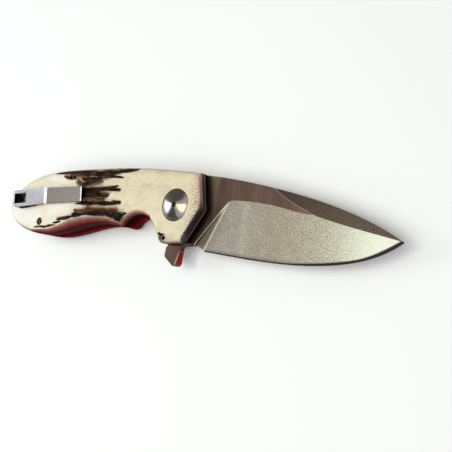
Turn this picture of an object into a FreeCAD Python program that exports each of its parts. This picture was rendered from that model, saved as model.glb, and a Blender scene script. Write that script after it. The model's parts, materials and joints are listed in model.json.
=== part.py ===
import FreeCAD, Part
import math
import os

# Folding pocket knife, open: a liner-lock flipper with stag scales and a folded pocket clip.
# Working frame, in millimetres: the pivot is the Z axis, X points to the blade tip, Y to the spine, and
# Z out of the clip side, with z = 0 in the middle of the blade. At the end every solid is moved by one
# step, so that the knife lies on its show side with the origin under the middle of its box.

# Stack across the knife, from the middle of the blade outwards
blade_thickness = 3.0
side_gap = 0.5
liner_thickness = 1.5
spacer_thickness = 0.5
scale_thickness = 3.5

# Lengths from the pivot, the swing of the blade and the room round the folded blade
blade_reach = 89.8
butt_margin = 9.7
closing_angle = 170.0
edge_room = 1.2
tip_room = 1.6

# Handle outline
spine_height = 14.4
spine_crest = -23.0
belly_depth = 17.0
cusp = (-27.5, -10.7)
cusp_radius = 3.0
notch_rear = (-22.5, -5.2)
notch_top = (-15.0, -5.0)
notch_front = (-10.0, -9.5)
lip_corner = (-6.4, -15.5)
lip_radius = 3.0
front_bottom = (4.7, -14.15)
front_point = (12.3, -0.6)
front_top = (9.0, 13.3)
front_corner_radius = 0.8
scale_edge_radius = 2.6

# Blade outline and grinds
tip_drop = 5.8
blade_rise = 12.4
edge_depth = 17.45
heel = (12.2, -16.35)
plunge_low = (6.3, -15.9)
plunge_top = (21.2, 4.2)
choil_top = (6.0, -14.0)
tab_throat = (1.0, -14.9)
tab_throat_radius = 3.0
tab_toe = (0.75, -25.1)
tab_toe_radius = 1.8
tab_heel = (-6.3, -20.0)
tab_heel_radius = 1.2
tab_root = (-6.0, -16.4)
edge_thickness = 0.6
apex_thickness = 0.1
edge_bevel_height = 1.3
edge_bevel_lift = 0.1
cut_margin = 0.5
grind_overrun = 0.12

# Pivot, bearings and stop pin
pivot_radius = 2.5
pivot_thread_radius = 1.6
pivot_head_radius = 6.35
pivot_head_height = 1.7
pivot_head_sunk = 0.2
pivot_dish_depth = 0.7
pivot_cone_rise = 1.1
pivot_rim_width = 0.4
pivot_socket_radius = 0.95
pivot_socket_depth = 0.8
race_radius = 6.4
race_thickness = 0.5
tang_pocket_depth = 0.7
cage_radius = 6.3
cage_thickness = 0.6
ball_pitch_radius = 4.5
ball_count = 8
stop_pin_radius = 2.0
stop_pin_distance = 10.7
stop_pin_angle = 75.0
shoulder_reach = 14.5
tab_shoulder_reach = 15.0

# Lock bar
lock_face_distance = 7.6
lock_face_angle = 200.0
lock_face_up = 3.0
lock_face_down = 2.6
lock_engaged_angle = 1.5
slit_width = 0.4
slit_hole_radius = 1.2
slit_low = -6.5
slit_middle = (-24.0, -1.2)
slit_high = (-13.0, 0.7)
lock_toe = (-9.3, -12.0)
detent_ball_radius = 0.8
detent_stand_out = 0.5
detent_distance = 9.9
detent_angle = 196.0

# Screws
scale_screw_head_radius = 1.5
scale_screw_head_height = 1.2
scale_screw_sunk = 1.0
scale_screw_radius = 0.9
lip_screw_inset = 2.3
liner_screw_head_radius = 1.9
liner_screw_head_depth = 0.9
liner_screw_radius = 1.0
liner_screw_length = 3.0
clip_screw_head_radius = 1.9
clip_screw_head_height = 0.9
clip_screw_radius = 1.0

# Pocket clip, along its own length from the fold
clip_thickness = 1.1
clip_fold_radius = 2.3
clip_length = 44.0
clip_bend = 20.0
clip_lower_length = 13.0
clip_butt_width = 7.8
clip_end_width = 6.4
clip_corner_radius = 3.2
clip_angle = 9.6
clip_sweep = -2.3
clip_inlay = 0.6
clip_bend_gap = 0.15
clip_rise = 3.0
clip_window_start = 2.3
clip_window_length = 6.6
clip_window_width = 4.6
clip_screw_place = 5.0

# Clearances
running_fit = 0.05
seat_fit = 0.02
lock_fit = 0.05
head_fit = 0.15

# Levels of the stack, and lengths that follow from the sizes above
blade_half = blade_thickness / 2
liner_in = blade_half + side_gap
liner_out = liner_in + liner_thickness
spacer_out = liner_out + spacer_thickness
scale_out = spacer_out + scale_thickness
handle_reach = blade_reach + butt_margin
tang_radius = stop_pin_distance - stop_pin_radius - 4 * running_fit
beyond = 2 * spine_height
head_top = scale_out - pivot_head_sunk
head_low = head_top - pivot_head_height


def vector(point, z=0.0):
    return FreeCAD.Vector(point[0], point[1], z)


def polar(radius, degrees):
    return (radius * math.cos(math.radians(degrees)), radius * math.sin(math.radians(degrees)))


def turned(point, degrees):
    """The point turned about the pivot, counter-clockwise seen from the clip side."""
    return polar(math.hypot(*point), math.degrees(math.atan2(point[1], point[0])) + degrees)


def rear(share):
    """A place along the rear handle, at a share of the way from the cusp to the butt."""
    return cusp[0] - share * (handle_reach + cusp[0])


def upper(share, rise):
    """A point of the rear handle, at a share of the spine's height."""
    return (rear(share), rise * spine_height)


def lower(share, drop):
    """A point of the rear handle, at a share of the belly's depth."""
    return (rear(share), -drop * belly_depth)


def forward(share):
    """A place along the blade, at a share of the way from the heel to the tip."""
    return heel[0] + share * (blade_reach - heel[0])


def by_spine(share, rise):
    """A point of the blade, at a share of the height of its spine."""
    return (forward(share), rise * blade_rise)


def by_edge(share, drop):
    """A point of the blade, at a share of the depth of its cutting edge."""
    return (forward(share), -drop * edge_depth)


def lifted(point, z, aside=0.0):
    """A point of the plan, moved towards the spine by a step and set at a height."""
    return (point[0], point[1] + aside, z)


def spline(points):
    curve = Part.BSplineCurve()
    curve.interpolate([vector(p) for p in points])
    return curve.toShape()


def line(start, end):
    return Part.makeLine(vector(start), vector(end))


def arc(start, middle, end):
    return Part.Arc(vector(start), vector(middle), vector(end)).toShape()


def prism(edges, low, high):
    face = Part.Face(Part.Wire(edges))
    face.translate(FreeCAD.Vector(0, 0, low))
    return face.extrude(FreeCAD.Vector(0, 0, high - low))


def polygon_prism(points, low, high):
    sides = [line(a, b) for a, b in zip(points, points[1:] + points[:1])]
    return prism(sides, low, high)


def rod(centre, radius, low, high):
    return Part.makeCylinder(radius, high - low, vector(centre, low))


def mirrored(shape):
    """The same piece on the show side of the knife."""
    return shape.mirror(FreeCAD.Vector(0, 0, 0), FreeCAD.Vector(0, 0, 1))


def round_corner(solid, corner, radius):
    """Round the upright edge of a prism that stands on the given corner of its outline."""
    def on_corner(vertex):
        return math.hypot(vertex.X - corner[0], vertex.Y - corner[1]) < 1e-4
    upright = [e for e in solid.Edges if all(on_corner(v) for v in e.Vertexes)]
    return solid.makeFillet(radius, upright)


# Handle: outline, scales, spacers, liners and backspacer

def handle_block(low, high):
    """A slab with the handle's outline, which every layer of the handle shares."""
    back = [front_top, (spine_crest, spine_height), upper(0.424, 0.875), upper(0.743, 0.639),
            upper(0.931, 0.139), lower(1.0, 0.353), lower(0.938, 0.729), lower(0.785, 0.976),
            lower(0.576, 1.0), lower(0.3125, 0.718), lower(0.132, 0.571), cusp]
    notch = [cusp, notch_rear, notch_top, notch_front, lip_corner]
    edges = [spline(back), spline(notch), line(lip_corner, front_bottom),
             line(front_bottom, front_point), line(front_point, front_top)]
    block = prism(edges, low, high)
    block = round_corner(block, cusp, cusp_radius)
    block = round_corner(block, lip_corner, lip_radius)
    return round_corner(block, front_point, front_corner_radius)


lip_screw_place = (lip_corner[0] + lip_screw_inset, lip_corner[1] + lip_screw_inset)
scale_screw_places = [upper(0.449, 0.653), lower(0.681, 0.7), lip_screw_place]
liner_screw_places = [upper(0.535, 0.618), lower(0.954, 0.324)]
stop_pin_place = polar(stop_pin_distance, stop_pin_angle)
clip_butt = lower(0.918, 0.206)
lock_root = rear(0.451)


def make_scale():
    """One stag scale with a rounded edge, a crisp front, a seat for the pivot head and sunk screw holes."""
    scale = handle_block(spacer_out, scale_out)

    def is_rounded(edge):
        middle = edge.valueAt((edge.FirstParameter + edge.LastParameter) / 2)
        return edge.BoundBox.ZMin > scale_out - 1e-4 and middle.x < front_bottom[0]
    scale = scale.makeFillet(scale_edge_radius, [e for e in scale.Edges if is_rounded(e)])
    cuts = [rod((0, 0), pivot_head_radius + head_fit, head_low, scale_out + beyond),
            rod((0, 0), pivot_radius + running_fit, spacer_out - beyond, head_low)]
    for place in scale_screw_places:
        seat = scale_out - scale_screw_sunk - scale_screw_head_height
        cuts.append(rod(place, scale_screw_head_radius + head_fit, seat, scale_out + beyond))
        cuts.append(rod(place, scale_screw_radius + running_fit, spacer_out - beyond, seat))
    return scale.cut(cuts)


def make_spacer():
    spacer = handle_block(liner_out, spacer_out)
    cuts = [rod((0, 0), pivot_radius + running_fit, liner_out, spacer_out)]
    for place in scale_screw_places:
        cuts.append(rod(place, scale_screw_radius + running_fit, liner_out, spacer_out))
    return spacer.cut(cuts)


def make_liner():
    """One steel liner, with a race seat at the pivot and holes for the pin and the screws."""
    liner = handle_block(liner_in, liner_out)
    cuts = [rod((0, 0), pivot_radius + running_fit, liner_in, liner_out),
            rod((0, 0), race_radius + seat_fit, liner_in, liner_in + race_thickness),
            rod(stop_pin_place, stop_pin_radius + seat_fit, liner_in, liner_out)]
    for place in scale_screw_places:
        cuts.append(rod(place, scale_screw_radius + seat_fit, liner_in, liner_out))
    for place in liner_screw_places:
        cuts.append(liner_screw(place, seat_fit))
    return liner.cut(cuts)


def make_backspacer():
    """The spacer between the liners, along the spine and round the butt, clear of the folded blade."""
    folded = [turned(p, -closing_angle) for p in edge_points()[2:]]
    inner = [(x, y + edge_room) for x, y in folded[:-1]]
    folded_tip = folded[-1]
    inner.append((folded_tip[0] - tip_room, folded_tip[1] + edge_room))
    inner.append((folded_tip[0] - 1.5 * tip_room, folded_tip[1] - 3 * tip_room))
    start, end = inner[0], inner[-1]
    far = -handle_reach - beyond
    edges = [spline(inner), line(end, (end[0], -beyond)), line((end[0], -beyond), (far, -beyond)),
             line((far, -beyond), (far, beyond)), line((far, beyond), (start[0], beyond)),
             line((start[0], beyond), start)]
    region = prism(edges, -liner_in, liner_in)
    spacer = handle_block(-liner_in, liner_in).common(region)
    cuts = []
    for place in liner_screw_places:
        for side in (-1, 1):
            depth = liner_out - liner_screw_length
            low, high = sorted((side * depth, side * liner_in))
            cuts.append(rod(place, liner_screw_radius + seat_fit, low, high))
    return spacer.cut(cuts)


# Lock bar, cut out of the clip-side liner

def lock_region(side_gap_here, root_gap, nose_gap):
    """Plan of the lock bar, grown by the given gaps, running out past the belly of the handle."""
    out = polar(1.0, lock_face_angle)
    along = (-out[1], out[0])
    face = lock_face_distance + lock_fit - nose_gap

    def on_face(step):
        return (out[0] * face + along[0] * step, out[1] * face + along[1] * step)
    nose_top = on_face(-lock_face_up - side_gap_here)
    nose_low = on_face(lock_face_down + side_gap_here)
    root = lock_root - root_gap
    slit = [(x, y + side_gap_here) for x, y in ((root, slit_low), slit_middle, slit_high)]
    toe = (lock_toe[0] + side_gap_here, lock_toe[1])
    return slit + [nose_top, nose_low, toe, (toe[0], -beyond), (root, -beyond)]


def slit_hole():
    """The round hole that ends the slit beside the root of the lock bar."""
    return rod((lock_root + slit_hole_radius, slit_low), slit_hole_radius, liner_in, liner_out)


def make_lock_liner():
    opening = polygon_prism(lock_region(slit_width, running_fit, slit_width), liner_in, liner_out)
    return make_liner().cut([opening, slit_hole()])


def engage(shape):
    """Turn a piece of the lock bar about the bar's root, so that its nose stands behind the tang."""
    shape.rotate(FreeCAD.Vector(lock_root, 0, (liner_in + liner_out) / 2),
                 FreeCAD.Vector(0, 1, 0), lock_engaged_angle)
    return shape


detent_place = polar(detent_distance, detent_angle)


def make_lock_bar():
    region = polygon_prism(lock_region(0.0, 0.0, 0.0), liner_in, liner_out)
    bar = handle_block(liner_in, liner_out).common(region)
    ball_seat = rod(detent_place, detent_ball_radius + seat_fit, liner_in, liner_out)
    return engage(bar.cut([ball_seat, slit_hole()]))


def make_detent_ball():
    centre = vector(detent_place, liner_in - detent_stand_out + detent_ball_radius)
    return engage(Part.makeSphere(detent_ball_radius, centre))


# Blade

def edge_points():
    """The cutting edge from the heel to the tip."""
    return [heel, by_edge(0.345, 1.0), by_edge(0.54, 0.98), by_edge(0.73, 0.871), by_edge(0.86, 0.705),
            (blade_reach, -tip_drop)]


def spine_points():
    """The spine from the tip to the shoulder that meets the stop pin."""
    return [(blade_reach, -tip_drop), by_spine(0.85, -0.024), by_spine(0.616, 0.444), by_spine(0.358, 0.774),
            by_spine(0.1, 1.0), shoulder(stop_pin_angle, -1, shoulder_reach)]


def shoulder(degrees, side, reach):
    """A point of the flat that meets the stop pin standing at an angle: side -1 is open, +1 is closed."""
    out = polar(1.0, degrees)
    aside = side * (stop_pin_radius + running_fit)
    return (out[0] * reach - out[1] * aside, out[1] * reach + out[0] * aside)


def blade_outline():
    flat = math.sqrt(tang_radius ** 2 - (stop_pin_radius + running_fit) ** 2)
    closed = stop_pin_angle + closing_angle
    open_foot = shoulder(stop_pin_angle, -1, flat)
    closed_foot = shoulder(closed, 1, flat)
    tab_shoulder = shoulder(closed, 1, tab_shoulder_reach)
    half_chord = math.degrees(math.acos(lock_face_distance / tang_radius))
    chord_start = lock_face_angle - half_chord
    chord_end = lock_face_angle + half_chord
    open_angle = math.degrees(math.atan2(open_foot[1], open_foot[0]))
    closed_angle = math.degrees(math.atan2(closed_foot[1], closed_foot[0])) % 360
    back_of_tang = polar(tang_radius, (open_angle + chord_start) / 2)
    low_of_tang = polar(tang_radius, (chord_end + closed_angle) / 2)
    return [spline(spine_points()),
            line(spine_points()[-1], open_foot),
            arc(open_foot, back_of_tang, polar(tang_radius, chord_start)),
            line(polar(tang_radius, chord_start), polar(tang_radius, chord_end)),
            arc(polar(tang_radius, chord_end), low_of_tang, closed_foot),
            line(closed_foot, tab_shoulder), line(tab_shoulder, tab_root), line(tab_root, tab_heel),
            line(tab_heel, tab_toe), line(tab_toe, tab_throat),
            arc(tab_throat, choil_top, heel), spline(edge_points())]


def grind(outer, ridge):
    """What a grind takes off the clip side: all above the ruled face between two curves of (x, y, z)."""
    steps = [float(i) for i in range(len(outer))]
    sides = []
    for points in (outer, ridge):
        curve = Part.BSplineCurve()
        curve.interpolate(Points=[FreeCAD.Vector(*p) for p in points], Parameters=steps)
        sides.append(curve.toShape())
    return Part.makeRuledSurface(sides[0], sides[1]).extrude(FreeCAD.Vector(0, 0, beyond))


def past(outer, ridge):
    """The ridge moved further along the grind, so that neighbouring grinds cross in one clean line."""
    return [tuple(r + grind_overrun * (r - o) for o, r in zip(p, q)) for p, q in zip(outer, ridge)]


def ridge_to_tip():
    """The ridge that the main grind and the swedge share, from where they meet to the tip."""
    return [lifted(by_spine(0.577, 0.065), blade_half), lifted(by_spine(0.796, -0.234), 0.73 * blade_half),
            lifted(by_spine(0.985, -0.444), 0.33 * blade_half)]


def main_grind():
    low = edge_thickness / 2
    outer = [lifted(plunge_low, low), lifted(by_edge(0.062, 1.003), low, -cut_margin),
             lifted(by_edge(0.345, 1.0), low, -cut_margin), lifted(by_edge(0.564, 0.974), low, -cut_margin),
             lifted(by_edge(0.82, 0.779), low, -cut_margin),
             (blade_reach + 2 * cut_margin, -tip_drop - cut_margin, low)]
    ridge = [lifted(plunge_top, blade_half), (forward(0.191), plunge_top[1], blade_half),
             lifted(by_spine(0.385, 0.234), blade_half)]
    return grind(outer, past(outer, ridge + ridge_to_tip()))


def swedge_grind():
    low = edge_thickness / 2
    above = 1.1 * blade_half
    outer = [lifted(by_spine(0.313, 0.847), above, cut_margin),
             lifted(by_spine(0.448, 0.653), 0.7 * blade_half, cut_margin),
             lifted(by_spine(0.59, 0.468), 0.5 * blade_half, cut_margin),
             lifted(by_spine(0.809, 0.056), 0.37 * blade_half, cut_margin),
             (blade_reach + 2 * cut_margin, -tip_drop + cut_margin, low)]
    ridge = [lifted(by_spine(0.33, 0.774), above), lifted(by_spine(0.442, 0.435), blade_half)]
    return grind(outer, past(outer, ridge + ridge_to_tip()))


def edge_grind():
    low = apex_thickness / 2
    high = edge_thickness / 2
    slope = (high - low) / edge_bevel_height
    outer = [(x, y - cut_margin, low - slope * cut_margin) for x, y in edge_points()]
    ridge = [(x, y + edge_bevel_height, high + edge_bevel_lift) for x, y in edge_points()]
    return grind(outer, ridge)


def make_blade():
    """The blade with its tang, flipper tab, bearing pockets, detent dimple and three pairs of grinds."""
    blade = prism(blade_outline(), -blade_half, blade_half)
    blade = round_corner(blade, tab_throat, tab_throat_radius)
    blade = round_corner(blade, tab_toe, tab_toe_radius)
    blade = round_corner(blade, tab_heel, tab_heel_radius)
    floor = blade_half - tang_pocket_depth
    cuts = [rod((0, 0), pivot_radius + running_fit, -blade_half, blade_half)]
    pocket = rod((0, 0), cage_radius + head_fit, floor, blade_half)
    for cutter in (pocket, main_grind(), swedge_grind(), edge_grind()):
        cuts.extend([cutter, mirrored(cutter)])
    dimple_place = turned(detent_place, closing_angle)
    dimple_height = blade_half - detent_stand_out + detent_ball_radius
    cuts.append(Part.makeSphere(detent_ball_radius + running_fit, vector(dimple_place, dimple_height)))
    for cutter in cuts:
        blade = blade.cut(cutter)
    return blade


# Pivot, bearings and stop pin

def revolved(profile):
    """A turned piece about the pivot from its half section, given as (radius, height) points."""
    points = [FreeCAD.Vector(r, 0, z) for r, z in profile]
    face = Part.Face(Part.makePolygon(points + points[:1]))
    return face.revolve(FreeCAD.Vector(0, 0, 0), FreeCAD.Vector(0, 0, 1), 360)


def pivot_head(crown):
    """Half section of a clip-side pivot head, whose face runs from its rim to its socket's height."""
    return [(pivot_head_radius, head_low), (pivot_head_radius, head_top),
            (pivot_head_radius - pivot_rim_width, head_top), (pivot_socket_radius, crown),
            (pivot_socket_radius, crown - pivot_socket_depth), (0, crown - pivot_socket_depth)]


def make_pivot_screw():
    """The clip-side half of the pivot, with a low cone for a head."""
    end = -blade_half
    shank = [(0, end), (pivot_thread_radius, end), (pivot_thread_radius, head_low)]
    return revolved(shank + pivot_head(head_top + pivot_cone_rise))


def make_pivot_barrel():
    """The show-side half of the pivot, bored for the screw, with a dish for a head."""
    bore = pivot_thread_radius + seat_fit
    bottom = blade_half + running_fit
    top = head_low - running_fit
    shank = [(0, bottom), (bore, bottom), (bore, -top), (pivot_radius, -top), (pivot_radius, head_low)]
    return mirrored(revolved(shank + pivot_head(head_top - pivot_dish_depth)))


def make_race():
    race = rod((0, 0), race_radius, liner_in, liner_in + race_thickness)
    return race.cut(rod((0, 0), pivot_radius + running_fit, liner_in, liner_in + race_thickness))


ball_low = blade_half - tang_pocket_depth
ball_radius = (liner_in - ball_low) / 2 - seat_fit
ball_middle = (liner_in + ball_low) / 2
ball_places = [polar(ball_pitch_radius, 360.0 * i / ball_count) for i in range(ball_count)]


def make_cage():
    low = ball_middle - cage_thickness / 2
    high = ball_middle + cage_thickness / 2
    holes = [rod(place, ball_radius + running_fit, low, high) for place in ball_places]
    holes.append(rod((0, 0), pivot_radius + 2 * running_fit, low, high))
    return rod((0, 0), cage_radius, low, high).cut(holes)


def make_balls():
    return Part.makeCompound([Part.makeSphere(ball_radius, vector(p, ball_middle)) for p in ball_places])


# Screws

def scale_screw(place):
    top = scale_out - scale_screw_sunk
    seat = top - scale_screw_head_height
    head = rod(place, scale_screw_head_radius, seat, top)
    return head.fuse(rod(place, scale_screw_radius, liner_in, seat))


def liner_screw(place, fit):
    """A countersunk screw, flush with the outside of the liner; with a fit it is the hole for it."""
    neck = liner_out - liner_screw_head_depth
    radius = liner_screw_radius + fit
    head = Part.makeCone(radius, liner_screw_head_radius + fit, liner_screw_head_depth, vector(place, neck))
    return head.fuse(rod(place, radius, liner_out - liner_screw_length, neck))


def make_scale_screws():
    return Part.makeCompound([scale_screw(place) for place in scale_screw_places])


def make_liner_screws():
    return Part.makeCompound([liner_screw(place, 0.0) for place in liner_screw_places])


# Pocket clip

def to_clip(shape):
    """Carry a shape from the clip's own frame (length, width, height) to its seat on the scale."""
    shape.rotate(FreeCAD.Vector(0, 0, 0), FreeCAD.Vector(0, 0, 1), clip_angle)
    shape.translate(vector(clip_butt, scale_out - clip_inlay))
    return shape


def clip_plan(margin, stations, low, high):
    """A slab with the clip's plan up to a station: tapering, rounded at the fold, swept past the bend."""
    taper = (clip_butt_width - clip_end_width) / 2 / clip_length
    sweep = clip_sweep / (clip_length - clip_bend)
    near, far = [], []
    for along in [-margin] + stations[:-1] + [stations[-1] + margin]:
        half = clip_butt_width / 2 + margin - taper * along
        aside = sweep * max(0.0, along - clip_bend)
        near.append((along, aside - half))
        far.append((along, aside + half))
    slab = polygon_prism(near + far[::-1], low, high)
    slab = round_corner(slab, near[0], clip_corner_radius)
    return round_corner(slab, far[0], clip_corner_radius)


def clip_section():
    """Side view of the folded strip: lower leaf, fold, leaf down to the bend, leaf rising to the end."""
    outer = clip_fold_radius
    inner = outer - clip_thickness
    bend = (clip_bend, clip_inlay + clip_bend_gap)
    away = (bend[0] - outer, bend[1] - outer)
    lean = math.atan2(away[1], away[0]) + math.acos(inner / math.hypot(*away))
    rise = math.radians(clip_rise)
    up_first = (math.cos(lean), math.sin(lean))
    up_last = (-math.sin(rise), math.cos(rise))
    mitre = clip_thickness / (1 + up_first[0] * up_last[0] + up_first[1] * up_last[1])
    bend_top = (bend[0] + mitre * (up_first[0] + up_last[0]), bend[1] + mitre * (up_first[1] + up_last[1]))
    run = clip_length - clip_bend
    end = (bend[0] + run, bend[1] + run * math.tan(rise))
    end_top = (end[0] + clip_thickness * up_last[0], end[1] + clip_thickness * up_last[1])

    def on_fold(radius):
        return (outer + radius * up_first[0], outer + radius * up_first[1])
    lower_top = (clip_lower_length, clip_thickness)
    lower = (clip_lower_length, 0.0)
    return [line(lower, (outer, 0.0)), arc((outer, 0.0), (0.0, outer), on_fold(outer)),
            line(on_fold(outer), bend_top), line(bend_top, end_top), line(end_top, end), line(end, bend),
            line(bend, on_fold(inner)),
            arc(on_fold(inner), (clip_thickness, outer), (outer, clip_thickness)),
            line((outer, clip_thickness), lower_top), line(lower_top, lower)]


def make_clip():
    strip = prism(clip_section(), -clip_butt_width, clip_butt_width)
    strip.rotate(FreeCAD.Vector(0, 0, 0), FreeCAD.Vector(1, 0, 0), 90)
    clip = strip.common(clip_plan(0.0, [clip_bend, clip_length], 0.0, beyond))
    start = clip_window_start
    end = start + clip_window_length
    half = clip_window_width / 2
    corners = [(start, -half), (end, -half), (end, half), (start, half)]
    window = polygon_prism(corners, clip_thickness + clip_screw_head_height / 2, beyond)
    hole = rod((clip_screw_place, 0), clip_screw_radius + running_fit, 0.0, clip_thickness)
    return to_clip(clip.cut([window, hole]))


def clip_screw(fit):
    """The screw in the lower leaf, seen through the window, threaded into the liner."""
    tail = liner_in - (scale_out - clip_inlay)
    shank = rod((clip_screw_place, 0), clip_screw_radius + fit, tail, clip_thickness)
    head_high = clip_thickness + clip_screw_head_height
    head = rod((clip_screw_place, 0), clip_screw_head_radius, clip_thickness, head_high)
    return to_clip(shank.fuse(head))


def clip_inlay_cut():
    return to_clip(clip_plan(head_fit, [clip_lower_length], 0.0, beyond))


def make_clip_side():
    """The three layers of the clip side, with the clip's inlay and its screw hole."""
    hole = clip_screw(running_fit)
    thread = clip_screw(seat_fit)
    scale = make_scale().cut([clip_inlay_cut(), hole])
    return {"scale_clip_side": scale, "spacer_clip_side": make_spacer().cut(hole),
            "liner_clip_side": make_lock_liner().cut(thread)}


pieces = make_clip_side()
pieces["scale_show_side"] = mirrored(make_scale())
pieces["spacer_show_side"] = mirrored(make_spacer())
pieces["liner_show_side"] = mirrored(make_liner())
pieces["backspacer"] = make_backspacer()
pieces["stop_pin"] = rod(stop_pin_place, stop_pin_radius, -liner_out, liner_out)
pieces["pivot_barrel"] = make_pivot_barrel()
pieces["pivot_screw"] = make_pivot_screw()
pieces["pocket_clip"] = make_clip()
pieces["clip_screw"] = clip_screw(0.0)
pieces["blade"] = make_blade()
pieces["lock_bar"] = make_lock_bar()
pieces["detent_ball"] = make_detent_ball()
for side, place in (("clip_side", lambda shape: shape), ("show_side", mirrored)):
    pieces["race_" + side] = place(make_race())
    pieces["bearing_cage_" + side] = place(make_cage())
    pieces["bearing_balls_" + side] = place(make_balls())
    pieces["scale_screws_" + side] = place(make_scale_screws())
    pieces["liner_screws_" + side] = place(make_liner_screws())

box = Part.makeCompound(list(pieces.values())).optimalBoundingBox(False, False)
to_origin = FreeCAD.Vector(-box.Center.x, -box.Center.y, -box.ZMin)
os.makedirs("parts", exist_ok=True)
for name, shape in pieces.items():
    shape.translate(to_origin)
    shape.exportStep("parts/" + name + ".step")
    print(name, "valid", shape.isValid(), "solids", len(shape.Solids), "volume", round(shape.Volume, 2))
print("pivot stands at", [round(value, 4) for value in to_origin], "size",
      [round(value, 3) for value in (box.XLength, box.YLength, box.ZLength)])
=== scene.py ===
# %% [markdown]
# # A folding pocket knife, dressed for a studio picture
#
# The imported model arrives as plain solids, each at its true place. This lesson gives every solid the
# finish of the real thing: polished stag with bark left in its grooves, stonewashed blade steel, a
# turned pivot head and a satin clip. Some highlights, reflections and shade are painted into these
# colours too. Where a solid is too plain for a close look, a finer surface is worked out with numpy
# and stands for it. All lengths that follow the knife are millimetres counted from the blade's pivot.

# %% Load the imported knife
import json
import math

import bmesh
import bpy
import numpy as np
from mathutils import Matrix, Vector


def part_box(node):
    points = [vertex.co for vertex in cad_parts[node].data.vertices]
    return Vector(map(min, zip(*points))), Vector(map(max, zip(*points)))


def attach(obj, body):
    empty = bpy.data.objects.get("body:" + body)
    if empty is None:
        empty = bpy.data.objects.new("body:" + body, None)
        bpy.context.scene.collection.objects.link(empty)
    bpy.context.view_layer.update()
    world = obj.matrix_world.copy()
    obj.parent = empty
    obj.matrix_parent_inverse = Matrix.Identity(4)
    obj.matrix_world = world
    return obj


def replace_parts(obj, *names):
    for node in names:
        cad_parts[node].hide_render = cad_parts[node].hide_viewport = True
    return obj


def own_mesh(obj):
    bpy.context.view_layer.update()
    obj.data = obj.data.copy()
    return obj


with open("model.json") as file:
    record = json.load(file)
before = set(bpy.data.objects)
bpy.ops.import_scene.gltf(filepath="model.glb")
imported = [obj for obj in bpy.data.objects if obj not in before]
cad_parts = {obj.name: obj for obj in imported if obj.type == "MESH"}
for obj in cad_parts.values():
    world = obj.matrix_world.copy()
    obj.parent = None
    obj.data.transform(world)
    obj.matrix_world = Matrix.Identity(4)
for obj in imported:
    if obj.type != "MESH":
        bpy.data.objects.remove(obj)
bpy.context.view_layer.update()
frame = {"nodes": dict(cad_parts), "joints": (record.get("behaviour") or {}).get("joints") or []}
solids = frame["nodes"]
scene = bpy.context.scene
scene.view_settings.view_transform = "Standard"
pivot = np.array(next(j["pos_m"] for j in frame["joints"] if j["name"] == "blade_pivot"))
print(len(solids), "solids, pivot at", pivot.round(5))

# %% [markdown]
# ## The camera
#
# The pivot head is a circle, so the ellipse that it makes in the picture tells from where it is seen:
# well towards the tip, and a little towards the belly. A camera could be aimed with a Track To
# constraint, but the picture is also rolled, so its place and two of its axes are written down.

# %% Camera
MM = 0.001
CAMERA_PLACE = np.array((163.893, -27.694, 207.130))
CAMERA_BACK = Vector((0.56819, -0.08727, 0.81826))
CAMERA_UP = Vector((-0.07465, 0.98479, 0.15688))
FOCAL_PIXELS, PICTURE_WIDTH = 668.2, 452
SENSOR_WIDTH, NEAREST = 36.0, 0.01


def to_row(points):
    """Millimetres from the pivot become metres in the frame of the whole knife."""
    return np.asarray(points, float) * MM + pivot


camera_data = bpy.data.cameras.new("studio_camera")
camera_data.sensor_width = SENSOR_WIDTH
camera_data.lens = FOCAL_PIXELS / PICTURE_WIDTH * SENSOR_WIDTH
camera_data.clip_start = NEAREST
camera = bpy.data.objects.new("studio_camera", camera_data)
scene.collection.objects.link(camera)
axes = Matrix((CAMERA_UP.cross(CAMERA_BACK), CAMERA_UP, CAMERA_BACK)).transposed()
camera.matrix_world = Matrix.Translation(Vector(to_row(CAMERA_PLACE))) @ axes.to_4x4()
scene.camera = camera
print("lens", round(camera_data.lens, 2), "mm")

# %% [markdown]
# ## Floor and light
#
# Satin steel shows what stands around it. One wide panel overhead lights the bone and is mirrored by
# the blade towards its tip, while the flat faces look past its rim into the dimmer room. A small warm
# panel beside the butt lights the clip. Two more stand where the pivot cone looks, a cool one low at
# its left and a yellow one high up, and each is drawn out into a fan by the turned rings.

# %% Floor, room and panels
FLOOR_HALF, FLOOR_DROP = 12.0, 0.00005
ROOM_TONE, ROOM_STRENGTH = (0.97, 0.985, 1.0, 1), 0.36
MIDDLE = (0.0, 0.0, 0.0)


def new_object(name, data):
    made = bpy.data.objects.new(name, data)
    scene.collection.objects.link(made)
    return made


def panel(name, place, aim, size, watts, colour):
    """A rectangular lamp at a place, turned to face a point; places and sizes in metres."""
    lamp = bpy.data.lights.new(name, "AREA")
    lamp.shape = "RECTANGLE"
    lamp.size, lamp.size_y = size
    lamp.energy = watts
    lamp.color = colour
    made = new_object(name, lamp)
    made.location = place
    made.rotation_euler = (Vector(aim) - Vector(place)).to_track_quat("-Z", "Y").to_euler()


corners = np.array(((-1, -1), (1, -1), (1, 1), (-1, 1))) * FLOOR_HALF
floor_mesh = bpy.data.meshes.new("floor")
floor_mesh.from_pydata(np.c_[corners, np.full(4, -FLOOR_DROP)].tolist(), [], [(0, 1, 2, 3)])
floor = new_object("floor", floor_mesh)

world = bpy.data.worlds.new("room")
world.use_nodes = True
scene.world = world
panel("overhead_panel", (0.03, -0.15, 0.70), (0.03, -0.15, 0.0), (0.86, 0.80), 3.6, (0.98, 0.985, 1.0))
panel("side_panel", (-0.62, 0.075, 0.65), MIDDLE, (0.22, 0.26), 0.4, (1.0, 0.94, 0.78))
panel("window_panel", (-0.60, 0.0, 0.33), MIDDLE, (0.26, 0.12), 1.0, (0.74, 0.9, 1.0))
panel("spot_panel", (-0.145, 0.0, 0.58), MIDDLE, (0.20, 0.08), 0.46, (0.95, 1.0, 0.6))
print("floor, room and four panels")

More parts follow.
